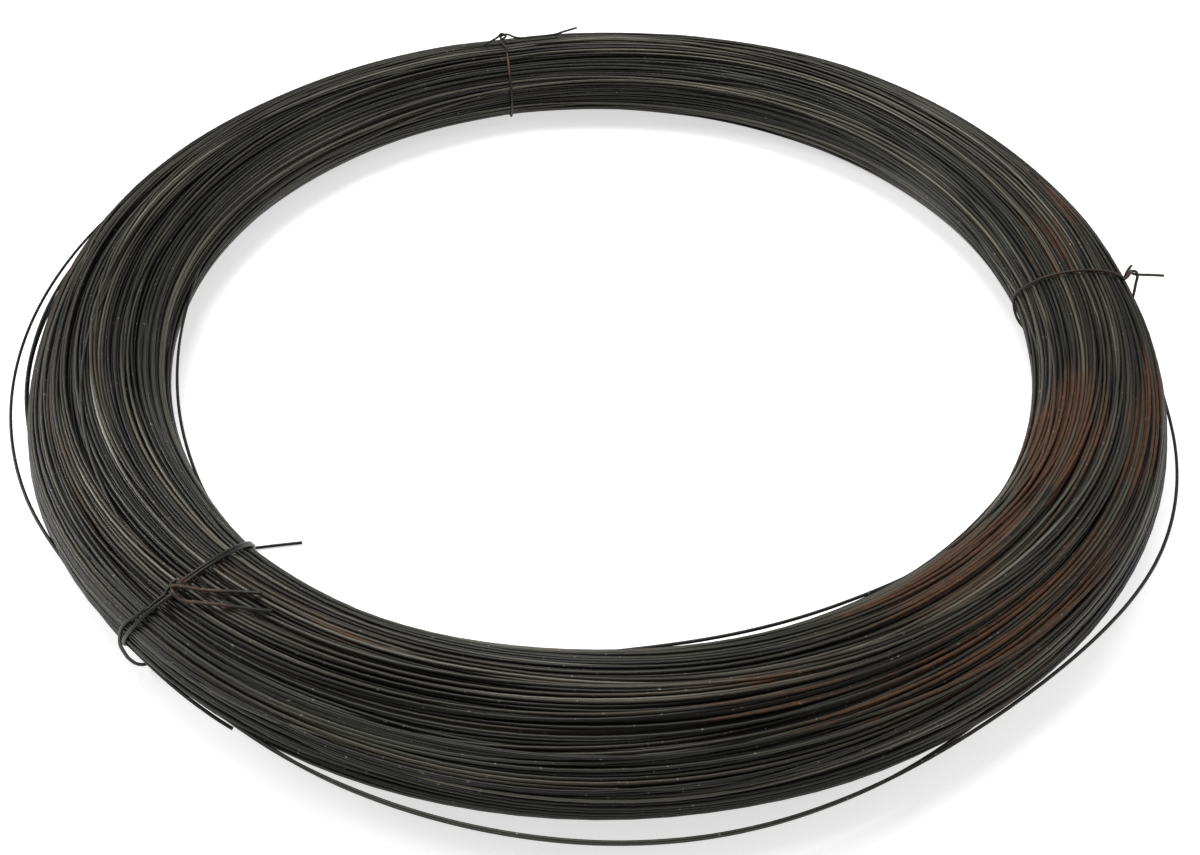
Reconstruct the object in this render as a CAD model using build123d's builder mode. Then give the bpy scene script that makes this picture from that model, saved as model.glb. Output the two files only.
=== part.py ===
from build123d import *
from math import atan2, cos, degrees, pi, radians, sin, sqrt
import os

# A coil of soft annealed steel wire, lying flat. Millimetres, +Z up.
# The origin is on the coil's axis, at the floor that the coil lies on.
# The wire is wound into a round bundle with an open eye, and three short ties
# of the same wire go round the bundle and hold it.

# The wire, drawn with this many flat sides inside its round section
wire_d = 1.6
wire_side_count = 8

# The wound bundle: its middle circle and the size of its oval section
bundle_mean_r = 280.7
bundle_width = 68.5
bundle_height = 54.0

# The turns that show on the bundle's faces, as ridges round its section
ridge_count = 16
groove_depth = 1.6

# A wire lies this far from what it is seated on or crosses
seat_gap = 0.3

# Turns that bow out of the bundle's outer side, and two into the eye: the
# middle of each bow in degrees counter-clockwise from +X, half the angle that
# it spans, how far it stands off the bundle there, and its height above the
# middle of the bundle
front_bow = (272.0, 30.0, 11.0, 0.0)
right_bow = (325.0, 21.0, 6.0, 0.0)
left_bow = (184.0, 34.0, 13.0, 0.0)
eye_left_bow = (194.0, 26.0, 5.0, 0.0)
eye_front_bow = (289.0, 21.0, 3.2, 10.0)
bow_root_depth = 3.5

# The wire's inner end: it leaves the underside of the bundle and points into
# the eye, with its tip on the floor
inner_end_angle = 206.0
inner_tip_angle = 227.5
inner_tip_r = 220.0

# The ties: their places round the coil, how each loop lies on the bundle, and
# their bends. A slanted loop shifts along the coil across the bundle, a leaning
# one from its bottom to its top, and a swung one at both of its sides.
back_tie_angle = 105.3
back_tie_slant = -0.1
right_tie_angle = -0.6
right_tie_swing = 12.0
front_left_tie_angle = 229.2
front_left_tie_lean = 0.55
tie_bend_r = 5.0
knot_bend_r = 1.7

# The knots: the way that they face on the section, and their loose ends
back_knot_facing = 55.0
back_tail_l = 58.0
back_tail_rise = 8.0
back_stub_l = 13.0
right_knot_facing = 8.0
right_tail_l = 26.0
right_stub_l = 8.0
eye_bar_x = 7.0
eye_length = 8.0
front_left_tail_tips = ((-4.0, 45.0), (-9.0, 32.0))
slack_strand_out = 7.0
slack_strand_along = 10.0

wire_r = wire_d / 2
half_width = bundle_width / 2
half_height = bundle_height / 2
# The ties pass under the bundle, so the bundle stands on them
bundle_z = wire_d + seat_gap + half_height
tie_offset = wire_r + seat_gap
crossing = wire_d + seat_gap
half_crossing = crossing / 2


def support(normal, offset):
    """Distance from the section's centre to its tangent line with this normal."""
    wide = half_width * cos(radians(normal))
    high = half_height * sin(radians(normal))
    return sqrt(wide**2 + high**2) + offset


def corner(normal_1, normal_2):
    """Where two tangent lines of a tie meet: x outwards, z up."""
    h1 = support(normal_1, tie_offset)
    h2 = support(normal_2, tie_offset)
    n1 = radians(normal_1)
    n2 = radians(normal_2)
    spread = sin(n2 - n1)
    x = (h1 * sin(n2) - h2 * sin(n1)) / spread
    z = (h2 * cos(n1) - h1 * cos(n2)) / spread
    return x, z


def contact(normal, offset):
    """The section's outline point that faces this way, moved out by the offset."""
    n = radians(normal)
    h = support(normal, 0)
    x = half_width**2 * cos(n) / h + offset * cos(n)
    z = half_height**2 * sin(n) / h + offset * sin(n)
    return x, z


def by_bundle(angle, x, along, z):
    """A point from its place beside the middle circle, at an angle round it."""
    r = bundle_mean_r + x
    turn = radians(angle) + along / r
    return Vector(r * cos(turn), r * sin(turn), bundle_z + z)


def direction(angle):
    """The level direction at this angle round the coil."""
    return Vector(cos(radians(angle)), sin(radians(angle)), 0)


# The coil: one turned solid with its eye and a ridge for each lay of turns,
# and the turns of the same wire that have sprung out of it
with BuildPart() as wire_coil:
    with BuildSketch(Plane.XZ):
        with BuildLine():
            outline = []
            for i in range(2 * ridge_count):
                t = i * pi / ridge_count
                depth = groove_depth * (i % 2)
                x = bundle_mean_r + (half_width - depth) * cos(t)
                z = bundle_z + (half_height - depth) * sin(t)
                outline.append((x, z))
            Polyline(*outline, close=True)
        make_face()
    revolve(axis=Axis.Z)

    # A sprung turn is an arc whose centre has moved off the coil's axis
    outer_bows = [(bow, 1) for bow in (front_bow, right_bow, left_bow)]
    eye_bows = [(bow, -1) for bow in (eye_left_bow, eye_front_bow)]
    for bow, side in outer_bows + eye_bows:
        middle, half_span, stand_off, rise = bow
        face_r = bundle_mean_r + side * half_width * sqrt(1 - (rise / half_height) ** 2)
        root_r = face_r - side * bow_root_depth
        span_drop = 1 - cos(radians(half_span))
        shift = side * (stand_off + bow_root_depth) / span_drop
        turn_r = face_r + side * stand_off - shift
        root_x = root_r * cos(radians(half_span)) - shift
        root_y = root_r * sin(radians(half_span))
        half_turn = degrees(atan2(root_y, root_x))
        centre = direction(middle) * shift
        start = direction(middle - half_turn)
        with BuildSketch(Plane(origin=centre, x_dir=start, z_dir=start.cross(Vector(0, 0, 1)))):
            with Locations((turn_r, bundle_z + rise)):
                RegularPolygon(wire_r, wire_side_count)
        revolve(axis=Axis(centre, (0, 0, 1)), revolution_arc=2 * half_turn)

    # The inner end, a straight stub that starts inside the underside
    end_root = by_bundle(inner_end_angle, 0, 0, bow_root_depth - half_height)
    end_tip = by_bundle(inner_tip_angle, inner_tip_r - bundle_mean_r, 0, wire_r - bundle_z)
    with BuildSketch(Plane(origin=end_root, z_dir=end_tip - end_root)):
        RegularPolygon(wire_r, wire_side_count)
    extrude(amount=(end_tip - end_root).length)
wire_coil.part.label = "wire_coil"


def back_lie(x, z):
    """How far the back tie's loop is shifted along the coil at this place."""
    return back_tie_slant * x


def right_lie(x, z):
    """How far the right tie's loop is shifted along the coil at this place."""
    return right_tie_swing * (1 - abs(z) / half_height)


def front_left_lie(x, z):
    """How far the front left tie's loop is shifted along the coil at this place."""
    return front_left_tie_lean * z


def wrap(angle, lie, side, normals):
    """Corners of a tie's strand that goes round the section by these normals."""
    points = []
    for n1, n2 in zip(normals, normals[1:]):
        x, z = corner(n1, n2)
        points.append(by_bundle(angle, x, lie(x, z) + side, z))
    return points


# The tie at the back: once round the bundle, its ends hooked over each other
# at the outer top edge, with a long tail along the bundle and a short stub
with BuildPart() as tie_back:
    over_x, over_z = contact(back_knot_facing, tie_offset + crossing)
    hook_x, hook_z = contact(back_knot_facing, tie_offset)
    down = wrap(back_tie_angle, back_lie, half_crossing, [back_knot_facing, 0, -45, -90])
    round_normals = [-90, -135, -180, -225, -270, back_knot_facing - 360]
    back_round = wrap(back_tie_angle, back_lie, -half_crossing, round_normals)
    knot_along = back_lie(hook_x, hook_z)
    tail_along = knot_along - back_tail_l
    tail_tip = by_bundle(back_tie_angle, over_x + crossing, tail_along, over_z + back_tail_rise)
    over_bend = by_bundle(back_tie_angle, over_x, knot_along + half_crossing, over_z)
    hook_bend = by_bundle(back_tie_angle, hook_x, knot_along - half_crossing, hook_z)
    stub_tip = by_bundle(back_tie_angle, hook_x, knot_along + back_stub_l, hook_z)
    points = [tail_tip, over_bend, *down, *back_round, hook_bend, stub_tip]
    wrap_bends = [tie_bend_r] * (len(down) + len(back_round))
    with BuildLine() as tie_path:
        FilletPolyline(*points, radius=[knot_bend_r, *wrap_bends, knot_bend_r])
    with BuildSketch(Plane(origin=tie_path.line @ 0, z_dir=tie_path.line % 0)):
        RegularPolygon(wire_r, wire_side_count)
    sweep(path=tie_path.line)
tie_back.part.label = "tie_back"

# The tie at the right: it starts with a tail that stands out from the bundle's
# outer side, goes up over the top and round, and comes up again to end in a stub
# that is hooked behind the tail's bend
with BuildPart() as tie_right:
    over_x, over_z = contact(right_knot_facing, tie_offset + crossing)
    hook_x, hook_z = contact(right_knot_facing, tie_offset)
    over = wrap(right_tie_angle, right_lie, half_crossing, [right_knot_facing, 45, 90])
    round_normals = [90, 135, 180, 225, 270, 315, right_knot_facing + 360]
    right_round = wrap(right_tie_angle, right_lie, -half_crossing, round_normals)
    knot_along = right_lie(hook_x, hook_z)
    tail_x = over_x + right_tail_l
    tail_tip = by_bundle(right_tie_angle, tail_x, knot_along - half_crossing, over_z)
    over_bend = by_bundle(right_tie_angle, over_x, knot_along + half_crossing, over_z)
    hook_bend = by_bundle(right_tie_angle, hook_x, knot_along - half_crossing, hook_z)
    stub_tip = by_bundle(right_tie_angle, hook_x, knot_along + right_stub_l, hook_z)
    points = [tail_tip, over_bend, *over, *right_round, hook_bend, stub_tip]
    wrap_bends = [tie_bend_r] * (len(over) + len(right_round))
    with BuildLine() as tie_path:
        FilletPolyline(*points, radius=[knot_bend_r, *wrap_bends, knot_bend_r])
    with BuildSketch(Plane(origin=tie_path.line @ 0, z_dir=tie_path.line % 0)):
        RegularPolygon(wire_r, wire_side_count)
    sweep(path=tie_path.line)
tie_right.part.label = "tie_right"

# The tie at the front left: a doubled wire round the bundle. Its ends pass up
# through its own closed eye, fold back over the eye's bar and lie on the top
with BuildPart() as tie_front_left:
    angle = front_left_tie_angle
    lie = front_left_lie
    top_z = half_height + tie_offset
    fold_x = eye_bar_x + crossing
    strand_along = half_crossing * sqrt(1 + front_left_tie_lean**2)
    leg_along = half_crossing + crossing
    top_along = lie(eye_bar_x, top_z)
    halves = []
    for side, tail_tip in zip((1, -1), front_left_tail_tips):
        strand = side * strand_along
        leg = top_along + side * leg_along
        near_side = wrap(angle, lie, strand, [-270, -225, -180, -135, -90, -45])
        far_side = wrap(angle, lie, strand, [-45, 0, 45])
        fold_z = top_z + 2 * crossing
        if side > 0:
            x, z = corner(-45, 0)
            slack_along = lie(x, z) + slack_strand_along
            far_side[0] = by_bundle(angle, x + slack_strand_out, slack_along, z)
        else:
            # This tail crosses over the other strand's fold
            fold_z += crossing
        tip_x, tip_along = tail_tip
        halves.append(
            [
                by_bundle(angle, tip_x, top_along + tip_along, top_z),
                by_bundle(angle, fold_x, top_along + strand, fold_z),
                by_bundle(angle, fold_x, top_along + strand, top_z),
                *near_side,
                *far_side,
                by_bundle(angle, eye_bar_x + eye_length, leg, top_z + crossing),
                by_bundle(angle, eye_bar_x, leg, top_z + crossing),
            ]
        )
    points = halves[0] + halves[1][::-1]
    fold_bends = [knot_bend_r, knot_bend_r]
    half_bends = [*fold_bends, *[tie_bend_r] * (len(near_side) + len(far_side)), *fold_bends]
    with BuildLine() as tie_path:
        FilletPolyline(*points, radius=half_bends + half_bends[::-1])
    with BuildSketch(Plane(origin=tie_path.line @ 0, z_dir=tie_path.line % 0)):
        RegularPolygon(wire_r, wire_side_count)
    sweep(path=tie_path.line)
tie_front_left.part.label = "tie_front_left"

os.makedirs("parts", exist_ok=True)
export_step(wire_coil.part, "parts/wire_coil.step")
export_step(tie_back.part, "parts/tie_back.step")
export_step(tie_right.part, "parts/tie_right.step")
export_step(tie_front_left.part, "parts/tie_front_left.step")
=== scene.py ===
from math import cos, hypot, pi, radians, sin

import bpy
import numpy as np
from mathutils import Matrix, Vector


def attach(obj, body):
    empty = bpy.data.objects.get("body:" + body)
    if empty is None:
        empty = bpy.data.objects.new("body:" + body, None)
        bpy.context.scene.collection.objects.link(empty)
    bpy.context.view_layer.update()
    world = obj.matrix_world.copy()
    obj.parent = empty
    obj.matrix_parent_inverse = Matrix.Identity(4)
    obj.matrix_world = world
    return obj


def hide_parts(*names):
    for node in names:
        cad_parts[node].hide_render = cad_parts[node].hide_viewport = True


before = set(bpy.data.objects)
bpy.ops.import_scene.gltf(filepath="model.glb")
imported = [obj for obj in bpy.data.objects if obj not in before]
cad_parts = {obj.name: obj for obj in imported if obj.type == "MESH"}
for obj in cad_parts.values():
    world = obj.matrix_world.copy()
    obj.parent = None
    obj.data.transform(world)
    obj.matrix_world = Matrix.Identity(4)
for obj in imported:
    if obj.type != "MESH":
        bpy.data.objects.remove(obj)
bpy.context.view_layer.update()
mm = 0.001


# The wound turns. One long soft steel wire is laid round and round by the winder, in
# about 900 loose turns. The turns lie beside and over each other, held by the ties
# alone, so they bunch, drift and leave gaps. The outer layers are real turns here.
wire_d = 1.6
wire_r = wire_d / 2
middle_r = 280.7
half_width = 34.25
half_height = 27.0
middle_z = 28.9
steps = 132
layer_depth = 1.42
turn_spacing = 1.66
layer_fill = (0.5, 0.84, 0.97, 0.97)
seat_play = 0.3
last_hidden_sine = -0.5
lay_count = 16
lay_depth = 0.9
crossing_count = 34
crossing_tuck = 3.4
crossing_lift = 0.2
crossing_rise = 3
crossing_lengths = (0.6, 1.5)
crossing_shifts = (0.2, 0.6)
crossing_past_side = 0.4
winding_seed = 41

rng = np.random.default_rng(winding_seed)
theta = np.arange(steps) * 2 * pi / steps


def wander(count, waves, sizes):
    """Smooth closed wandering round the coil for each of count turns."""
    total = np.zeros((count, steps))
    for wave, size in zip(waves, sizes):
        phase = rng.uniform(0, 2 * pi, (count, 1))
        height = rng.normal(0, size, (count, 1))
        total += height * np.sin(wave * theta[None, :] + phase)
    return total


def shared_drift(where, waves_round, waves_across, sizes):
    """A drift that neighbouring turns share, so that they move as a band."""
    total = np.zeros((len(where), steps))
    for around, across, size in zip(waves_round, waves_across, sizes):
        phase = rng.uniform(0, 2 * pi)
        total += size * np.sin(around * theta[None, :] + across * where[:, None] + phase)
    return total


# Places of the turns in each layer, as angles round the bundle's section. The deeper
# layers have no turns at the underside, where nobody sees them.
layer_of = []
place_of = []
for layer, fill in enumerate(layer_fill):
    wide = half_width - wire_r - layer * layer_depth
    high = half_height - wire_r - layer * layer_depth
    seats = int(pi * (wide + high) / turn_spacing)
    taken = np.sort(rng.permutation(seats)[: int(fill * seats)])
    for seat in taken:
        place = (seat + rng.uniform(-seat_play, seat_play)) * 2 * pi / seats
        hidden_below = layer > 1 and sin(place) < last_hidden_sine
        if not hidden_below:
            layer_of.append(layer)
            place_of.append(place)
layer_of = np.array(layer_of)
place_of = np.array(place_of)
plain_count = len(place_of)

# Each turn drifts along its layer with its neighbours and alone, and wanders in depth:
# the waves round the coil (and across the section), and the size of each in mm
band_waves_round = (1, 2, 3, 2, 5)
band_waves_across = (2, 3, 1, 5, 4)
band_sizes = (2.6, 1.8, 1.4, 1.0, 0.6)
own_waves = (1, 2, 3, 4, 6)
own_sizes = (1.7, 1.3, 0.9, 0.6, 0.3)
depth_waves = (1, 2, 3, 5)
depth_sizes = (0.35, 0.35, 0.3, 0.25)

drift_mm = shared_drift(place_of, band_waves_round, band_waves_across, band_sizes)
drift_mm += wander(plain_count, own_waves, own_sizes)
mean_half = (half_width + half_height) / 2
angle = place_of[:, None] + drift_mm / mean_half
wander_in = np.abs(wander(plain_count, depth_waves, depth_sizes))
depth_mm = layer_of[:, None] * layer_depth + wander_in

# Turns that cross the others at a slant, out on top of them for part of the way round
cross_start = rng.uniform(0, 2 * pi, crossing_count)
cross_length = rng.uniform(*crossing_lengths, crossing_count)
cross_from = rng.uniform(-crossing_past_side, pi + crossing_past_side, crossing_count)
cross_way = rng.choice([-1, 1], crossing_count)
cross_shift = cross_way * rng.uniform(*crossing_shifts, crossing_count)
past = np.mod(theta[None, :] - cross_start[:, None], 2 * pi) / cross_length[:, None]
raised = np.clip(np.sin(np.clip(past, 0, 1) * pi) * crossing_rise, 0, 1)
cross_angle = cross_from[:, None] + cross_shift[:, None] * np.clip(past, 0, 1)
cross_back = np.clip((past - 1) * cross_length[:, None] / (2 * pi - cross_length[:, None]), 0, 1)
cross_angle -= cross_shift[:, None] * cross_back * (past > 1)
cross_depth = crossing_tuck * layer_depth * (1 - raised) - crossing_lift * raised

# The lays, each a few turns wide, show as shallow ridges round the bundle
angle = np.vstack([angle, cross_angle])
depth_mm = np.vstack([depth_mm, cross_depth])
depth_mm += lay_depth * 0.5 * (1 - np.cos(lay_count * angle))
turn_count = len(angle)
home = np.stack(
    [
        (half_width - wire_r - depth_mm) * np.cos(angle),
        (half_height - wire_r - depth_mm) * np.sin(angle),
    ],
    axis=2,
)


# How the turns settle: the reach of the search and the distance kept, in wires, and
# the share of each move that is made in one round
settle_rounds = 64
rounds_per_search = 6
search_reach = 1.45
kept_apart = 1.01
push_share = 0.7
home_share = 0.02
edge_share = 0.6
smooth_share = 0.35


def near_pairs(points, reach):
    """Pairs of turns nearer than reach, in each section round the coil."""
    firsts, seconds, sections = [], [], []
    upper = np.triu(np.ones((len(points), len(points)), bool), 1)
    for k in range(steps):
        x = points[:, k, 0]
        z = points[:, k, 1]
        close = (x[:, None] - x[None, :]) ** 2 + (z[:, None] - z[None, :]) ** 2 < reach**2
        first, second = np.nonzero(close & upper)
        firsts.append(first)
        seconds.append(second)
        sections.append(np.full(len(first), k))
    return np.concatenate(firsts), np.concatenate(seconds), np.concatenate(sections)


def settled(points):
    """Turns pushed apart where they overlap, kept in the bundle and kept smooth."""
    size = turn_count * steps
    for i in range(settle_rounds):
        if i % rounds_per_search == 0:
            first, second, section = near_pairs(points, wire_d * search_reach)
        gap = points[second, section] - points[first, section]
        distance = np.maximum(np.linalg.norm(gap, axis=1), 1e-6)
        overlap = np.maximum(wire_d * kept_apart - distance, 0)
        push = gap * (0.5 * overlap / distance)[:, None]
        moved = np.zeros_like(points)
        for axis in range(2):
            away = np.bincount(second * steps + section, push[:, axis], size)
            back = np.bincount(first * steps + section, push[:, axis], size)
            moved[:, :, axis] = (away - back).reshape(turn_count, steps)
        points = points + push_share * moved + home_share * (home - points)
        wide = points[:, :, 0] / (half_width - wire_r)
        high = points[:, :, 1] / (half_height - wire_r)
        reach = np.maximum(np.sqrt(wide**2 + high**2), 1e-6)
        outside = np.maximum(reach - 1, 0)
        points = points * (1 - edge_share * outside / reach)[:, :, None]
        between = 0.5 * (np.roll(points, 1, axis=1) + np.roll(points, -1, axis=1))
        points = points + smooth_share * (between - points)
    return points


turns = settled(home)

# The bundle isn't quite even. These give how far, in mm, its outer, inner and top
# faces stand off those of an even ring, at angles round the coil in degrees.
outer_swell = {
    0: -2.6, 15: -1.6, 25: -0.4, 35: 2.6, 45: 4.4, 60: 5.4, 74: 2.4, 88: -0.3, 104: -0.8,
    115: -1.4, 126: 1.8, 134: 0, 147: 3.4, 160: 4.2, 168: 3.6, 176: 2.6, 184: -0.2, 192: -2.4,
    200: 0.8, 208: 1.6, 222: 0.8, 240: 0.2, 256: 0.6, 272: 1.8, 286: 0.6, 300: 1.2, 320: 1.9,
    338: 0, 350: -2.0,
}
inner_swell = {
    0: 0, 60: 0, 100: 0.4, 120: -0.8, 135: -2.0, 150: -2.4, 180: -3.0, 195: -2.8, 205: -1.6,
    216: -0.8, 226: 0.6, 240: 2.2, 252: 1.4, 266: -2.0, 286: -0.8, 302: 0, 330: 0.2,
}
top_swell = {
    0: -0.4, 25: 1.0, 45: 2.4, 60: 3.0, 88: 0, 104: -1.0, 120: 0, 262: 0, 275: 0.8, 290: 0,
}
# Where the ties draw the bundle in, how far in mm, and over how many degrees
tie_angles = (105.3, 0.6, 229.2)
tie_grip = 0.9
tie_grip_span = 5.0


def round_coil(values, at):
    """Values given at angles round the coil, read at other angles in radians.

    They are joined by straight lines, then smoothed over 8 degrees to either side.
    """
    ends = sorted(values.items())
    ends.append((ends[0][0] + 360, ends[0][1]))
    fine = np.arange(0, 360, 2)
    read = np.interp(fine, [a for a, v in ends], [v for a, v in ends])
    shifts = range(-4, 5)
    smooth = sum(np.roll(read, shift) for shift in shifts) / len(shifts)
    return np.interp(np.degrees(at) % 360, np.append(fine, 360), np.append(smooth, smooth[0]))


def gripped(at):
    """1 under a tie, falling to 0 beside it."""
    total = 0
    for tie_angle in tie_angles:
        away = (np.degrees(at) - tie_angle + 180) % 360 - 180
        total = total + np.exp(-((away / tie_grip_span) ** 2))
    return total


def in_model(x, z, at):
    """Points of the model, in metres: x outwards and z up from the bundle's middle."""
    out = np.maximum(x / half_width, 0)
    eye = np.maximum(-x / half_width, 0)
    up = np.maximum(z / half_height, 0)
    grip = tie_grip * gripped(at)
    x = x + (round_coil(outer_swell, at) - grip) * out
    x = x + (round_coil(inner_swell, at) + grip) * eye
    z = z + (round_coil(top_swell, at) - grip) * up
    r = middle_r + x
    return np.stack([r * np.cos(at), r * np.sin(at), middle_z + z], axis=-1) * mm


def wire_tree():
    """Geometry nodes that draw a round wire along each line of a mesh."""
    tree = bpy.data.node_groups.new("draw_wire", "GeometryNodeTree")
    tree.interface.new_socket("Geometry", in_out="INPUT", socket_type="NodeSocketGeometry")
    tree.interface.new_socket("Wire Radius", in_out="INPUT", socket_type="NodeSocketFloat")
    tree.interface.new_socket("Sides", in_out="INPUT", socket_type="NodeSocketInt")
    tree.interface.new_socket("Material", in_out="INPUT", socket_type="NodeSocketMaterial")
    tree.interface.new_socket("Geometry", in_out="OUTPUT", socket_type="NodeSocketGeometry")
    start = tree.nodes.new("NodeGroupInput")
    to_curve = tree.nodes.new("GeometryNodeMeshToCurve")
    circle = tree.nodes.new("GeometryNodeCurvePrimitiveCircle")
    to_mesh = tree.nodes.new("GeometryNodeCurveToMesh")
    smooth = tree.nodes.new("GeometryNodeSetShadeSmooth")
    realize = tree.nodes.new("GeometryNodeRealizeInstances")
    paint = tree.nodes.new("GeometryNodeSetMaterial")
    end = tree.nodes.new("NodeGroupOutput")
    to_mesh.inputs["Fill Caps"].default_value = True
    join = tree.links.new
    join(start.outputs["Geometry"], to_curve.inputs["Mesh"])
    join(start.outputs["Sides"], circle.inputs["Resolution"])
    join(start.outputs["Wire Radius"], circle.inputs["Radius"])
    join(to_curve.outputs["Curve"], to_mesh.inputs["Curve"])
    join(circle.outputs["Curve"], to_mesh.inputs["Profile Curve"])
    join(to_mesh.outputs["Mesh"], smooth.inputs["Geometry"])
    join(smooth.outputs["Geometry"], realize.inputs["Geometry"])
    join(realize.outputs["Geometry"], paint.inputs["Geometry"])
    join(start.outputs["Material"], paint.inputs["Material"])
    join(paint.outputs["Geometry"], end.inputs["Geometry"])
    return tree


draw_wire = wire_tree()


def wire_piece(name, paths, closed, sides, material, node):
    """One piece of wires along these paths, each with its own tone."""
    corners, edges, tones = [], [], []
    for path in paths:
        base = len(corners)
        count = len(path)
        corners.extend(map(tuple, path))
        edges.extend((base + i, base + i + 1) for i in range(count - 1))
        if closed:
            edges.append((base + count - 1, base))
        tones.extend([rng.uniform(0, 1)] * count)
    line_data = bpy.data.meshes.new(name + "_lines")
    line_data.from_pydata(corners, edges, [])
    line_data.attributes.new("tone", "FLOAT", "POINT").data.foreach_set("value", tones)
    lines = bpy.data.objects.new(name + "_lines", line_data)
    bpy.context.scene.collection.objects.link(lines)
    modifier = lines.modifiers.new("draw_wire", "NODES")
    modifier.node_group = draw_wire
    wanted = {"Wire Radius": wire_r * mm, "Sides": sides, "Material": material}
    for item in draw_wire.interface.items_tree:
        if item.in_out == "INPUT" and item.name in wanted:
            modifier[item.identifier] = wanted[item.name]
    evaluated = lines.evaluated_get(bpy.context.evaluated_depsgraph_get())
    data = bpy.data.meshes.new_from_object(evaluated)
    data.name = name
    bpy.data.objects.remove(lines)
    bpy.data.meshes.remove(line_data)
    piece = bpy.data.objects.new(name, data)
    bpy.context.scene.collection.objects.link(piece)
    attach(piece, "root")
    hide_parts(node)


def plain_math(tree, operation, *values):
    """A Math node; its values are numbers or sockets."""
    node = tree.nodes.new("ShaderNodeMath")
    node.operation = operation
    for socket, value in zip(node.inputs, values):
        if isinstance(value, (int, float)):
            socket.default_value = value
        else:
            tree.links.new(value, socket)
    return node.outputs[0]


def plan_radius(tree, x, y):
    """How far a place is from the coil's axis."""
    x_squared = plain_math(tree, "MULTIPLY", x, x)
    y_squared = plain_math(tree, "MULTIPLY", y, y)
    return plain_math(tree, "SQRT", plain_math(tree, "ADD", x_squared, y_squared))


def noise_at(tree, place, scale, detail, roughness=0.5):
    """A noise pattern read at this place."""
    node = tree.nodes.new("ShaderNodeTexNoise")
    node.inputs["Scale"].default_value = scale
    node.inputs["Detail"].default_value = detail
    node.inputs["Roughness"].default_value = roughness
    tree.links.new(place, node.inputs["Vector"])
    return node.outputs["Fac"]


def spread_out(tree, value, low, high, to_low=0, to_high=1):
    """A value between low and high, carried over to a value between two others."""
    node = tree.nodes.new("ShaderNodeMapRange")
    node.inputs["From Min"].default_value = low
    node.inputs["From Max"].default_value = high
    node.inputs["To Min"].default_value = to_low
    node.inputs["To Max"].default_value = to_high
    tree.links.new(value, node.inputs["Value"])
    return node.outputs[0]


def scaled(tree, colour, amount):
    """A colour made lighter or darker by this amount."""
    node = tree.nodes.new("ShaderNodeVectorMath")
    node.operation = "SCALE"
    tree.links.new(colour, node.inputs[0])
    tree.links.new(amount, node.inputs["Scale"])
    return node.outputs[0]


patch_softness = 0.2
patch_gain = 1.7


def patch_group():
    """A soft-edged patch of the coil: 1 at its middle angle and radius, 0 outside."""
    tree = bpy.data.node_groups.new("coil_patch", "ShaderNodeTree")
    for name in ("Angle", "Half Angle", "Radius", "Half Radius"):
        tree.interface.new_socket(name, in_out="INPUT", socket_type="NodeSocketFloat")
    tree.interface.new_socket("Mask", in_out="OUTPUT", socket_type="NodeSocketFloat")
    start = tree.nodes.new("NodeGroupInput")
    end = tree.nodes.new("NodeGroupOutput")
    place = tree.nodes.new("ShaderNodeTexCoord")
    apart = tree.nodes.new("ShaderNodeSeparateXYZ")
    tree.links.new(place.outputs["Object"], apart.inputs[0])
    x, y = apart.outputs["X"], apart.outputs["Y"]
    turn = plain_math(tree, "ARCTAN2", y, x)
    middle = plain_math(tree, "RADIANS", start.outputs["Angle"])
    away = plain_math(tree, "WRAP", plain_math(tree, "SUBTRACT", turn, middle), pi, -pi)
    span = plain_math(tree, "RADIANS", start.outputs["Half Angle"])
    far_round = plain_math(tree, "DIVIDE", plain_math(tree, "ABSOLUTE", away), span)
    reach = plain_math(tree, "DIVIDE", plan_radius(tree, x, y), mm)
    off = plain_math(tree, "ABSOLUTE", plain_math(tree, "SUBTRACT", reach, start.outputs["Radius"]))
    far_across = plain_math(tree, "DIVIDE", off, start.outputs["Half Radius"])
    near_round = plain_math(tree, "SUBTRACT", 1, far_round)
    near_round = plain_math(tree, "SMOOTH_MAX", near_round, 0, patch_softness)
    near_across = plain_math(tree, "SUBTRACT", 1, far_across)
    near_across = plain_math(tree, "SMOOTH_MAX", near_across, 0, patch_softness)
    both = plain_math(tree, "MULTIPLY", near_round, near_across)
    soft = plain_math(tree, "MINIMUM", plain_math(tree, "MULTIPLY", both, patch_gain), 1)
    tree.links.new(soft, end.inputs["Mask"])
    return tree


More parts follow.
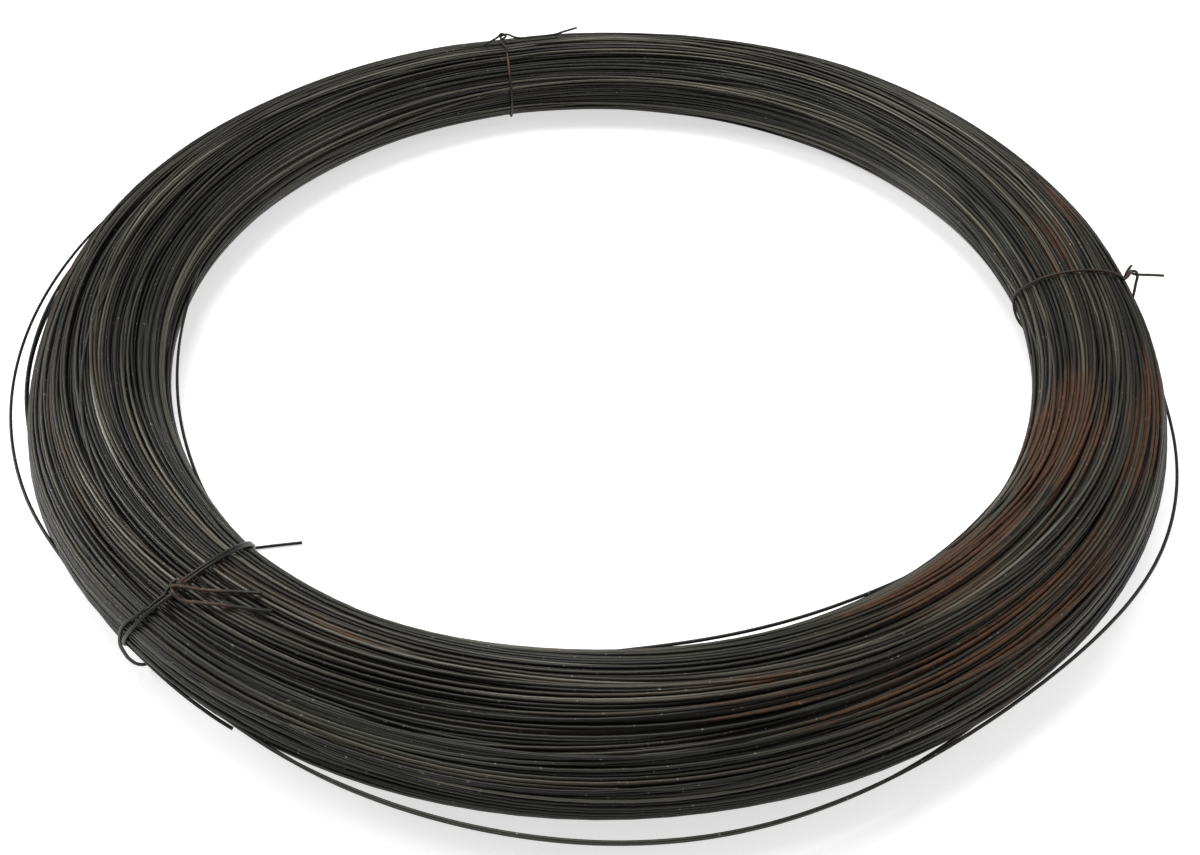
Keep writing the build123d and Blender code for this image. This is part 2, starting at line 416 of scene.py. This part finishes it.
def lane_group():
    """Soft lanes along the turns, which neighbouring turns share, with no seam."""
    tree = bpy.data.node_groups.new("turn_lanes", "ShaderNodeTree")
    tree.interface.new_socket("Waves", in_out="INPUT", socket_type="NodeSocketFloat")
    tree.interface.new_socket("Across", in_out="INPUT", socket_type="NodeSocketFloat")
    tree.interface.new_socket("Value", in_out="OUTPUT", socket_type="NodeSocketFloat")
    start = tree.nodes.new("NodeGroupInput")
    end = tree.nodes.new("NodeGroupOutput")
    place = tree.nodes.new("ShaderNodeTexCoord")
    apart = tree.nodes.new("ShaderNodeSeparateXYZ")
    tree.links.new(place.outputs["Object"], apart.inputs[0])
    x, y, z = apart.outputs["X"], apart.outputs["Y"], apart.outputs["Z"]
    reach = plain_math(tree, "MAXIMUM", plan_radius(tree, x, y), mm)
    waves = plain_math(tree, "DIVIDE", start.outputs["Waves"], reach)
    spot = tree.nodes.new("ShaderNodeCombineXYZ")
    tree.links.new(plain_math(tree, "MULTIPLY", x, waves), spot.inputs["X"])
    tree.links.new(plain_math(tree, "MULTIPLY", y, waves), spot.inputs["Y"])
    tree.links.new(plain_math(tree, "MULTIPLY", reach, start.outputs["Across"]), spot.inputs["Z"])
    noise = tree.nodes.new("ShaderNodeTexNoise")
    noise.noise_dimensions = "4D"
    noise.inputs["Scale"].default_value = 1
    noise.inputs["Detail"].default_value = 2
    tree.links.new(spot.outputs[0], noise.inputs["Vector"])
    tree.links.new(plain_math(tree, "MULTIPLY", z, start.outputs["Across"]), noise.inputs["W"])
    tree.links.new(noise.outputs["Fac"], end.inputs["Value"])
    return tree


turn_lanes = lane_group()


def lanes(tree, waves, across):
    """A lane pattern in a tree: waves round the coil, and how fine it is across."""
    node = tree.nodes.new("ShaderNodeGroup")
    node.node_tree = turn_lanes
    node.inputs["Waves"].default_value = waves
    node.inputs["Across"].default_value = across
    return node.outputs["Value"]


# Annealed steel's oxide, from the darkest turns to the few with a bare shine
oxide_tones = (
    (0.0, (0.0110, 0.0112, 0.0100)),
    (0.20, (0.0175, 0.0180, 0.0138)),
    (0.45, (0.0335, 0.0340, 0.0252)),
    (0.62, (0.0430, 0.0370, 0.0262)),
    (0.80, (0.0660, 0.0655, 0.0500)),
    (0.92, (0.0980, 0.0910, 0.0700)),
    (1.0, (0.1550, 0.1500, 0.1250)),
)
rust_colour = (0.105, 0.047, 0.022)
dust_colour = (0.34, 0.33, 0.30)
dust_share = 0.5
# Each turn's tone, a number from 0 to 1, also shifts its streaks and its rust
streak_shift = 83.0
rust_shift = 7.3
# The lanes' waves round the coil, and how fine they are across it
tone_lanes = (2.2, 95)
rust_lanes = (5, 260)
# Scale and detail of the noise in each pattern
streak_noise = (17, 5, 0.6)
blotch_noise = (260, 3)
dust_noise = (520, 1)
# From which values of a pattern to which others
streak_levels = (0.3, 0.7, 0.62, 1.38)
lane_levels = (0.35, 0.65, 0.6, 1.4)
dust_levels = (0.715, 0.77)
oxide_roughness = (0, 1, 0.34, 0.5)
rust_roughness = 0.3
bump_depth = 0.2
bump_strength = 0.25
oxide_metallic = 0.35
# How much each pattern decides where there is rust, and how sharp and full it gets
rust_weights = {"patch": 1.5, "lanes": 2.6, "streaks": 0.9, "blotches": 0.5, "own": -0.45}
rust_threshold = 2.44
rust_sharpness = 1.25
most_rust = 0.88
# The blotches scale the rust's colour: by the base, plus the pattern times the gain
blotch_base = 0.3
blotch_gain = 1.3


def skin_group():
    """The skin of annealed wire: each turn's own oxide tone, streaks, specks and rust."""
    tree = bpy.data.node_groups.new("wire_skin", "ShaderNodeTree")
    for name, kind, value in (
        ("Level", "NodeSocketFloat", 1.0),
        ("Rust", "NodeSocketFloat", 0.0),
        ("Rust Colour", "NodeSocketColor", (*rust_colour, 1)),
    ):
        tree.interface.new_socket(name, in_out="INPUT", socket_type=kind).default_value = value
    for name, kind in (("Colour", "Color"), ("Roughness", "Float"), ("Normal", "Vector")):
        tree.interface.new_socket(name, in_out="OUTPUT", socket_type="NodeSocket" + kind)
    nodes, join = tree.nodes, tree.links.new
    start = nodes.new("NodeGroupInput")
    end = nodes.new("NodeGroupOutput")
    place = nodes.new("ShaderNodeTexCoord").outputs["Object"]
    tone_node = nodes.new("ShaderNodeAttribute")
    tone_node.attribute_name = "tone"
    tone = tone_node.outputs["Fac"]
    oxide = nodes.new("ShaderNodeValToRGB")
    ends = oxide.color_ramp.elements
    ends[0].position, ends[0].color = oxide_tones[0][0], (*oxide_tones[0][1], 1)
    ends[1].position, ends[1].color = oxide_tones[-1][0], (*oxide_tones[-1][1], 1)
    for position, colour in oxide_tones[1:-1]:
        oxide.color_ramp.elements.new(position).color = (*colour, 1)
    join(tone, oxide.inputs["Fac"])

    # Streaks run along the wire: the pattern is stretched, and shifted for each turn
    apart = nodes.new("ShaderNodeSeparateXYZ")
    join(place, apart.inputs[0])
    stretched = nodes.new("ShaderNodeCombineXYZ")
    join(apart.outputs["X"], stretched.inputs["X"])
    join(apart.outputs["Y"], stretched.inputs["Y"])
    join(plain_math(tree, "MULTIPLY", tone, streak_shift), stretched.inputs["Z"])
    streak = noise_at(tree, stretched.outputs[0], *streak_noise)
    level = spread_out(tree, streak, *streak_levels)
    bands = spread_out(tree, lanes(tree, *tone_lanes), *lane_levels)
    shade = plain_math(tree, "MULTIPLY", level, start.outputs["Level"])
    shade = plain_math(tree, "MULTIPLY", shade, bands)
    lit = scaled(tree, oxide.outputs["Color"], shade)

    # Rust takes some turns and spares others, and it is blotched
    fine = noise_at(tree, place, *blotch_noise)
    own = plain_math(tree, "FRACT", plain_math(tree, "MULTIPLY", tone, rust_shift))
    spread = plain_math(tree, "MULTIPLY", own, rust_weights["own"])
    for pattern, weight in (
        (lanes(tree, *rust_lanes), rust_weights["lanes"]),
        (streak, rust_weights["streaks"]),
        (fine, rust_weights["blotches"]),
        (start.outputs["Rust"], rust_weights["patch"]),
    ):
        spread = plain_math(tree, "MULTIPLY_ADD", pattern, weight, spread)
    spread = plain_math(tree, "SUBTRACT", spread, rust_threshold)
    spread = plain_math(tree, "MULTIPLY", spread, rust_sharpness)
    rust = plain_math(tree, "MINIMUM", plain_math(tree, "MAXIMUM", spread, 0), most_rust)
    blotches = plain_math(tree, "MULTIPLY_ADD", fine, blotch_gain, blotch_base)
    # In a Mix node, inputs 6 and 7 and output 2 are its colours
    rusted = nodes.new("ShaderNodeMix")
    rusted.data_type = "RGBA"
    join(rust, rusted.inputs["Factor"])
    join(lit, rusted.inputs[6])
    join(scaled(tree, start.outputs["Rust Colour"], blotches), rusted.inputs[7])

    # A few pale specks of scale and dust
    speck = spread_out(tree, noise_at(tree, place, *dust_noise), *dust_levels)
    dusted = nodes.new("ShaderNodeMix")
    dusted.data_type = "RGBA"
    join(plain_math(tree, "MULTIPLY", speck, dust_share), dusted.inputs["Factor"])
    join(rusted.outputs[2], dusted.inputs[6])
    dusted.inputs[7].default_value = (*dust_colour, 1)
    join(dusted.outputs[2], end.inputs["Colour"])

    # The oxide is half shiny and rust is dull
    rough = spread_out(tree, streak, *oxide_roughness)
    join(plain_math(tree, "MULTIPLY_ADD", rust, rust_roughness, rough), end.inputs["Roughness"])
    bump = nodes.new("ShaderNodeBump")
    bump.inputs["Strength"].default_value = bump_strength
    bump.inputs["Distance"].default_value = bump_depth * mm
    join(fine, bump.inputs["Height"])
    join(bump.outputs["Normal"], end.inputs["Normal"])
    return tree


coil_patch = patch_group()
wire_skin = skin_group()


def wire_material(name, level, rust, patches=(), rusts_to=rust_colour):
    """Annealed wire, this light and this rusty, with more rust on these patches."""
    material = bpy.data.materials.new(name)
    material.use_nodes = True
    tree = material.node_tree
    surface = tree.nodes["Principled BSDF"]
    skin = tree.nodes.new("ShaderNodeGroup")
    skin.node_tree = wire_skin
    skin.inputs["Level"].default_value = level
    skin.inputs["Rust Colour"].default_value = (*rusts_to, 1)
    amount = rust
    for patch_angle, half_angle, radius, half_radius, strength in patches:
        patch = tree.nodes.new("ShaderNodeGroup")
        patch.node_tree = coil_patch
        patch.inputs["Angle"].default_value = patch_angle
        patch.inputs["Half Angle"].default_value = half_angle
        patch.inputs["Radius"].default_value = radius
        patch.inputs["Half Radius"].default_value = half_radius
        here = plain_math(tree, "MULTIPLY", patch.outputs["Mask"], strength)
        amount = plain_math(tree, "MAXIMUM", amount, here)
    if isinstance(amount, float):
        skin.inputs["Rust"].default_value = amount
    else:
        tree.links.new(amount, skin.inputs["Rust"])
    tree.links.new(skin.outputs["Colour"], surface.inputs["Base Color"])
    tree.links.new(skin.outputs["Roughness"], surface.inputs["Roughness"])
    tree.links.new(skin.outputs["Normal"], surface.inputs["Normal"])
    surface.inputs["Metallic"].default_value = oxide_metallic
    return material


# Rusted patches: middle angle, half angle, middle radius, half its depth, and how rusty
rust_patches = (
    (330, 20, 262, 26, 1.0),
    (308, 22, 262, 22, 0.95),
    (336, 18, 300, 20, 0.72),
    (306, 28, 300, 22, 0.7),
    (6, 12, 268, 18, 0.6),
    (12, 9, 292, 12, 0.62),
    (284, 16, 284, 14, 0.55),
    (186, 24, 312, 12, 0.42),
    (206, 24, 297, 10, 0.4),
    (240, 26, 272, 12, 0.36),
    (100, 24, 300, 10, 0.4),
)
turn_material = wire_material("black_annealed_wire", level=0.95, rust=0.06, patches=rust_patches)
turn_sides = 6
# One piece for each side of the bundle, from the outer face over the top to the eye
side_names = ("turns_outer", "turns_top", "turns_inner", "turns_under")
turns_by_side = {name: [] for name in side_names}
side_angle = np.mod(np.arctan2(turns[:, 0, 1], turns[:, 0, 0]), 2 * pi)
for number in range(turn_count):
    quarter = int(((side_angle[number] + pi / 4) % (2 * pi)) // (pi / 2))
    path = in_model(turns[number, :, 0], turns[number, :, 1], theta)
    turns_by_side[side_names[quarter]].append(path)
for name, paths in turns_by_side.items():
    wire_piece(
        name, paths, closed=True, sides=turn_sides,
        material=turn_material, node="wire_coil",
    )


# The heart of the bundle: the hundreds of turns under the visible layers, which nobody sees,
# stand here as one ring just under them. Its colour is darkened to level 0.3 as painted shade, for
# the shade deep between the turns.
heart_depth = 6.0
heart_sides = 36
heart_points = []
heart_faces = []
for k in range(steps):
    after = (k + 1) % steps
    for j in range(heart_sides):
        next_j = (j + 1) % heart_sides
        t = 2 * pi * j / heart_sides
        x = (half_width - heart_depth) * cos(t)
        z = (half_height - heart_depth) * sin(t)
        heart_points.append(tuple(in_model(x, z, theta[k])))
        face = (k * heart_sides + j, after * heart_sides + j)
        face += (after * heart_sides + next_j, k * heart_sides + next_j)
        heart_faces.append(face)
heart_data = bpy.data.meshes.new("bundle_heart")
heart_data.from_pydata(heart_points, [], heart_faces)
heart_data.shade_smooth()
# Painted shade: the same wire's colour, darkened to level 0.3 for the heart
heart_data.materials.append(wire_material("shaded_inner_turns", level=0.3, rust=0.0))
heart = bpy.data.objects.new("bundle_heart", heart_data)
bpy.context.scene.collection.objects.link(heart)
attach(heart, "root")


# Turns that have sprung out of the bundle. The soft wire keeps its bend, so a turn
# that no tie holds tight stands off the rest, and goes back in at the next tie.
sprung_steps = 360
sprung_theta = np.arange(sprung_steps) * 2 * pi / sprung_steps
tucked = -4.0
sprung_wave = 1.2
# Each turn: the face it leaves (1 outer, -1 inner), its height over the middle, and how
# far it stands off that face at these angles. Where it is tucked, it lies out of sight.
sprung_turns = (
    (1, -1.4, {236: tucked, 242: 1.0, 250: 3.9, 257: 6.5, 264: 9.3, 270: 10.6, 277: 11.4, 284: 9.4,
               292: 4.4, 302: 1.5, 308: 1.5, 312: 2.9, 319: 6.9, 326: 9.3, 332: 8.7, 338: 5.2,
               345: 1.2, 351: tucked}),
    (1, -3.2, {238: tucked, 244: 1.4, 250: 4.0, 257: 6.6, 264: 9.3, 270: 10.7, 277: 11.4, 284: 9.3,
               292: 4.2, 299: 1.5, 305: tucked}),
    (1, 0.0, {141: tucked, 146: 1.5, 153: 7.6, 162: 11.6, 171: 12.4, 181: 12.1, 189: 11.8, 198: 9.5,
              204: 8.0, 210: 5.3, 217: 1.6, 223: tucked}),
    (1, 8.0, {166: tucked, 172: 0.6, 178: 2.6, 184: 2.4, 190: 2.7, 196: 1.3, 202: 0.2,
              209: tucked}),
    (1, 6.5, {168: tucked, 175: 0.6, 182: 1.0, 188: 1.2, 193: 2.2, 199: 0.6, 206: tucked}),
    (1, 19.0, {122: tucked, 129: 0.4, 136: 1.8, 143: 1.6, 150: tucked}),
    (1, 17.0, {64: tucked, 72: 0.5, 80: 1.1, 88: 0.6, 95: tucked}),
    (-1, 0.0, {168: tucked, 174: 2.4, 179: 4.9, 186: 6.4, 194: 6.8, 202: 6.0, 207: 4.2, 212: 2.6,
               219: 0.4, 225: tucked}),
    (-1, 10.0, {264: tucked, 269: 0.6, 274: 2.2, 280: 3.3, 286: 3.4, 292: 3.0, 298: 2.2, 304: 0.4,
                310: tucked}),
)


def sprung_path(side, height, stand_off, at):
    """A turn that stands this far off the bundle's face, at angles in radians."""
    face = half_width * np.sqrt(1 - (height / half_height) ** 2)
    r = middle_r + side * (face + round_coil(stand_off, at))
    level = height + sprung_wave * np.sin(2 * at)
    return np.stack([r * np.cos(at), r * np.sin(at), middle_z + level], axis=-1) * mm


sprung_paths = [sprung_path(*turn, sprung_theta) for turn in sprung_turns]
# Painted shade: level 0.4 darkens this wire well below the coil's turns of the same wire, for the
# shade that the loose turns and ends lie in
sprung_material = wire_material("sprung_annealed_wire", level=0.4, rust=0.1)
sprung_sides = 8
wire_piece(
    "sprung_turns", sprung_paths, closed=True, sides=sprung_sides,
    material=sprung_material, node="wire_coil",
)


# The two ends of the coil's wire, bare and cut square. The outer end lies against the
# bundle's outer face. The inner end leaves the underside and points into the eye, and
# its tip lies on the floor.
def eased_line(points, spacing):
    """A smooth line through given points, with corners this far apart in metres.

    It is a spline spaced by the square root of each step, so it makes no loops of its own.
    """
    knots = np.asarray(points, float)
    before = 2 * knots[0] - knots[1]
    after = 2 * knots[-1] - knots[-2]
    knots = np.vstack([before, knots, after])
    line = []
    for p0, p1, p2, p3 in zip(knots, knots[1:], knots[2:], knots[3:]):
        count = max(int(np.linalg.norm(p2 - p1) / spacing), 1)
        k1 = max(np.linalg.norm(p1 - p0), 1e-7) ** 0.5
        k2 = max(np.linalg.norm(p2 - p1), 1e-7) ** 0.5
        k3 = max(np.linalg.norm(p3 - p2), 1e-7) ** 0.5
        for u in np.arange(count) / count:
            s = k1 + u * k2
            a1 = p0 * (k1 - s) / k1 + p1 * s / k1
            a2 = p1 * (k1 + k2 - s) / k2 + p2 * (s - k1) / k2
            a3 = p2 * (k1 + k2 + k3 - s) / k3 + p3 * (s - k1 - k2) / k3
            b1 = a1 * (k1 + k2 - s) / (k1 + k2) + a2 * s / (k1 + k2)
            b2 = a2 * (k1 + k2 + k3 - s) / (k2 + k3) + a3 * (s - k1) / (k2 + k3)
            line.append(b1 * (k1 + k2 - s) / k2 + b2 * (s - k1) / k2)
    line.append(knots[-2])
    return np.array(line)


def by_bundle(angle, x, along, z):
    """A point of the model beside the middle circle, in metres; along is in mm."""
    r = middle_r + x
    turn = radians(angle) + along / r
    return np.array([r * cos(turn), r * sin(turn), middle_z + z]) * mm


end_spacing = 0.003
outer_end = [
    by_bundle(212, half_width - 4, 0, -5),
    by_bundle(219, half_width - 1.4, 0, -5),
    by_bundle(226, half_width - 1.0, 0, -5),
    by_bundle(231, half_width - 1.0, 0, -5),
    by_bundle(236, half_width - 0.3, 0, -5),
    by_bundle(239.6, half_width + 0.3, 0, -5),
    by_bundle(241.6, half_width + 0.5, 0, -5),
]
inner_end = [
    by_bundle(214, 16, 0, -21.0),
    by_bundle(217.1, 8, 0, -25.6),
    by_bundle(220.1, -15.8, 0, -27.2),
    by_bundle(223.8, -41.1, 0, -27.8),
    by_bundle(225.5, -51.1, 0, -27.9),
    by_bundle(227.4, -60.9, 0, wire_r + 0.1 - middle_z),
]
end_paths = [eased_line(outer_end, end_spacing), eased_line(inner_end, end_spacing)]
wire_piece(
    "wire_ends", end_paths, closed=False, sides=sprung_sides,
    material=sprung_material, node="wire_coil",
)


# The back tie: a short piece of the same wire, once round the bundle. Its ends are
# hooked over each other at the outer top edge, and its long tail lies along the coil.
tie_spacing = 0.0011
tie_sides = 8
tie_seat = 0.95
strand_step = 7.5


def on_bundle(normal, off):
    """Place on the bundle's section that faces this way, off mm out from its face."""
    n = radians(normal)
    h = hypot(half_width * cos(n), half_height * sin(n))
    x = half_width**2 * cos(n) / h + off * cos(n)
    z = half_height**2 * sin(n) / h + off * sin(n)
    return x, z


def strand(angle, lie, side, first, last):
    """Points of a tie's strand on the turns, between two facings in degrees.

    A facing of 0 is outwards, 90 is up, 180 is towards the eye and 270 is down.
    """
    count = max(int(abs(last - first) / strand_step), 1)
    points = []
    for i in range(count + 1):
        x, z = on_bundle(first + (last - first) * i / count, tie_seat)
        at = radians(angle) + (lie(x, z) + side) / (middle_r + x)
        points.append(in_model(x, z, at))
    return points


def beside_tie(angle, places):
    """Points near a tie's knot, from their places outwards, along and up in mm."""
    return [by_bundle(angle, x, along, z) for x, along, z in places]


back_angle = 105.3
back_lean = -0.1
end_beside = 0.9


def back_lie(x, z):
    """How far the back tie is shifted along the coil at this place."""
    return back_lean * x


back_tail = (
    (13.5, -58.2, 28.2),
    (10.0, -52.0, 28.4),
    (6.3, -45.4, 28.6),
    (4.2, -40.3, 28.2),
    (2.4, -30.0, 28.1),
    (1.4, -20.0, 28.2),
    (1.0, -12.0, 28.7),
    (1.8, -8.0, 29.6),
    (4.2, -4.9, 30.4),
    (6.0, -2.4, 30.3),
    (7.2, 0.2, 28.9),
    (10.0, 1.2, 27.2),
)
back_stub = (
    (-0.4, 2.7, 28.2),
    (2.2, 1.2, 28.4),
    (4.8, -1.3, 28.2),
    (7.2, -2.9, 28.2),
    (9.0, -1.6, 29.0),
    (7.8, 0.8, 30.2),
    (5.0, 3.4, 29.4),
    (3.0, 6.6, 28.9),
    (0.6, 10.8, 28.4),
    (-2.4, 15.4, 28.0),
)
back_path = beside_tie(back_angle, back_tail)
back_path += strand(back_angle, back_lie, end_beside, 62, -90)
back_path += strand(back_angle, back_lie, -end_beside, -104, -262)
back_path += beside_tie(back_angle, back_stub)
back_rust = (0.15, 0.058, 0.03)
back_patches = ((back_angle, 6, 259, 9, 0.9),)
back_material = wire_material("back_tie_oxide", 0.95, 0.1, back_patches, back_rust)
back_line = [eased_line(back_path, tie_spacing)]
wire_piece(
    "back_tie_wire", back_line, closed=False, sides=tie_sides,
    material=back_material, node="tie_back",
)


# The right tie, of the same soft steel wire but rusty all over. From a straight tail
# that stands out at the side it goes over the top and round, comes up again off the
# bundle, and winds once about the tail.
right_angle = -0.6
right_swing = 9.0


def right_lie(x, z):
    """How far the right tie is shifted along the coil at this place."""
    return right_swing * (1 - abs(z) / half_height)


right_tail = (
    (55.6, 21.2, 8.2),
    (49.0, 21.5, 8.3),
    (43.0, 21.8, 8.1),
    (38.6, 22.0, 8.3),
    (36.4, 21.6, 9.4),
    (34.4, 20.2, 11.8),
    (31.0, 15.0, 16.0),
    (26.4, 8.2, 19.8),
)
right_wrap = (
    (34.0, 6.0, -8.0),
    (36.0, 9.4, -4.0),
    (38.0, 14.2, 0.6),
    (39.4, 18.6, 4.6),
    (39.2, 19.4, 8.4),
    (38.6, 21.0, 10.5),
    (37.9, 23.6, 9.6),
    (37.0, 23.9, 7.2),
    (35.0, 22.0, 5.9),
    (32.8, 20.0, 6.6),
    (32.6, 20.6, 8.6),
    (34.4, 23.2, 10.5),
    (36.8, 25.5, 12.2),
)
right_path = beside_tie(right_angle, right_tail)
right_path += strand(right_angle, right_lie, end_beside, 52, 250)
right_path += strand(right_angle, right_lie, -end_beside, 262, 336)
right_path += beside_tie(right_angle, right_wrap)
right_rust = (0.075, 0.046, 0.034)
right_material = wire_material("right_tie_rust", 0.85, 0.8, (), right_rust)
right_line = [eased_line(right_path, tie_spacing)]
wire_piece(
    "right_tie_wire", right_line, closed=False, sides=tie_sides,
    material=right_material, node="tie_right",
)


# The front left tie: a doubled soft steel wire round the bundle. Its two ends pass
# through its own eye on the top, fold back over it and lie on the turns. One of its
# strands is slack.
left_angle = 229.2
left_lean = 0.55


def left_lie(x, z):
    """How far the front left tie is shifted along the coil at this place."""
    return left_lean * z


top_along = left_lean * half_height
left_beside = 0.84


def on_top(places):
    """Points over the bundle's top: outwards, along from the tie, up from the turns."""
    points = []
    for x, along, up in places:
        drop = half_height * (1 - np.sqrt(1 - (x / half_width) ** 2))
        points.append(by_bundle(left_angle, x, top_along + along, half_height - drop + up))
    return points


# From the tip of each tail back to the tie, through its eye
lower_tail = (
    (-3.7, 41.9, 1.2),
    (-0.6, 35.0, 0.9),
    (4.5, 23.5, 0.9),
    (9.6, 13.6, 1.0),
    (12.6, 7.6, 1.5),
    (12.8, 3.6, 2.9),
    (12.0, 1.4, 2.6),
    (9.6, 0.9, 1.2),
)
upper_tail = (
    (-8.7, 30.6, 1.2),
    (-4.5, 24.0, 0.9),
    (0.4, 16.8, 0.9),
    (4.6, 10.4, 1.3),
    (8.2, 4.6, 2.9),
    (10.4, 1.2, 3.6),
    (11.6, -0.6, 2.8),
    (9.6, -0.9, 1.2),
)
# One side of the eye, up to where the two halves of the wire meet
eye_side = ((14.8, 1.1, 1.0), (11.6, 2.0, 1.3), (8.8, 1.9, 1.9), (7.4, 0.8, 2.6))
# The slack strand goes out over the floor and up, clear of the bundle
slack_strand = (
    (8.0, -11.8, -27.8),
    (16.0, -7.8, -28.0),
    (24.0, -4.4, -28.0),
    (29.6, -2.9, -27.4),
    (33.2, -2.8, -23.6),
    (35.3, -2.8, -17.0),
    (36.0, -2.3, -9.5),
    (36.0, -1.4, -3.0),
    (34.7, -0.4, 3.0),
    (32.4, 1.5, 9.5),
    (29.6, 4.2, 13.8),
    (26.6, 7.6, 17.4),
    (22.8, 10.2, 20.8),
)
left_halves = []
for side, tail in ((1, lower_tail), (-1, upper_tail)):
    half = on_top(tail)
    half += strand(left_angle, left_lie, left_beside * side, 76, 270)
    if side > 0:
        half += strand(left_angle, left_lie, left_beside, 278, 417)
    else:
        half += beside_tie(left_angle, slack_strand)
        half += strand(left_angle, left_lie, -left_beside, 416, 424)
    half += on_top([(x, along * side, up) for x, along, up in eye_side])
    left_halves.append(half)
left_path = left_halves[0] + left_halves[1][::-1]
left_rust = (0.095, 0.055, 0.042)
left_patches = ((235, 5, 288, 16, 1.0),)
left_material = wire_material("front_left_tie_oxide", 0.62, 0.1, left_patches, left_rust)
left_line = [eased_line(left_path, tie_spacing)]
wire_piece(
    "front_left_tie_wire", left_line, closed=False, sides=tie_sides,
    material=left_material, node="tie_front_left",
)


# The floor is a plain white sheet, and it takes the coil's soft shadow. Camera and
# mirror rays see it lighter than it is lit, so that it reads as white.
floor_size = 14.0
floor_colour = (0.8, 0.8, 0.8, 1)
floor_roughness = 0.9
floor_lift = 0.62

half_floor = floor_size / 2
floor_corners = [(-half_floor, -half_floor, 0), (half_floor, -half_floor, 0)]
floor_corners += [(half_floor, half_floor, 0), (-half_floor, half_floor, 0)]
floor_data = bpy.data.meshes.new("floor")
floor_data.from_pydata(floor_corners, [], [(0, 1, 2, 3)])
floor = bpy.data.objects.new("floor", floor_data)
bpy.context.scene.collection.objects.link(floor)
floor_material = bpy.data.materials.new("white_floor")
floor_material.use_nodes = True
floor_tree = floor_material.node_tree
surface = floor_tree.nodes["Principled BSDF"]
surface.inputs["Base Color"].default_value = floor_colour
surface.inputs["Roughness"].default_value = floor_roughness
rays = floor_tree.nodes.new("ShaderNodeLightPath")
seen = plain_math(
    floor_tree, "MAXIMUM", rays.outputs["Is Camera Ray"], rays.outputs["Is Glossy Ray"]
)
seen = plain_math(floor_tree, "MAXIMUM", seen, rays.outputs["Is Transmission Ray"])
surface.inputs["Emission Color"].default_value = (1, 1, 1, 1)
lifted = plain_math(floor_tree, "MULTIPLY", seen, floor_lift)
floor_tree.links.new(lifted, surface.inputs["Emission Strength"])
floor_data.materials.append(floor_material)


# The studio: a pale surround, a large soft lamp above, another at the left, and a
# weak one at the right. None of them has a hard edge, so the shadows are soft.
surround_strength = 0.3
world = bpy.data.worlds.new("studio")
world.use_nodes = True
world.node_tree.nodes["Background"].inputs["Color"].default_value = (1, 1, 1, 1)
world.node_tree.nodes["Background"].inputs["Strength"].default_value = surround_strength
bpy.context.scene.world = world
bpy.context.scene.view_settings.view_transform = "Standard"


def soft_lamp(name, place, size, power):
    """A square lamp of this size in metres, facing the coil."""
    lamp_data = bpy.data.lights.new(name, "AREA")
    lamp_data.shape = "SQUARE"
    lamp_data.size = size
    lamp_data.energy = power
    lamp = bpy.data.objects.new(name, lamp_data)
    lamp.location = place
    lamp.rotation_euler = (-Vector(place)).to_track_quat("-Z", "Y").to_euler()
    bpy.context.scene.collection.objects.link(lamp)


soft_lamp("lamp_above", place=(-0.25, 0.55, 1.9), size=1.0, power=24)
soft_lamp("lamp_left", place=(-1.95, 0.4, 1.15), size=0.7, power=21)
soft_lamp("lamp_right", place=(1.7, 0.2, 1.2), size=0.7, power=4.5)


# The camera stands in front of the coil and looks down at it, as the photo does.
# Its place, tilt, roll and lens come from matching the coil's two outlines.
camera_place = Vector((0.6, -499.7, 429.3)) * mm
camera_tilt = 45.48
camera_roll = 0.57
camera_lens = 32.32
camera_sensor = 36

tilt = radians(camera_tilt)
look_right = Vector((1, 0, 0))
look_up = Vector((0, sin(tilt), cos(tilt)))
look_back = Vector((0, -cos(tilt), sin(tilt)))
turned = Matrix((look_right, look_up, look_back)).transposed()
turned = turned @ Matrix.Rotation(radians(camera_roll), 3, "Z")
camera_data = bpy.data.cameras.new("camera")
camera_data.lens = camera_lens
camera_data.sensor_width = camera_sensor
camera_data.clip_start = 0.01
camera = bpy.data.objects.new("camera", camera_data)
camera.matrix_world = Matrix.Translation(camera_place) @ turned.to_4x4()
bpy.context.scene.collection.objects.link(camera)
bpy.context.scene.camera = camera
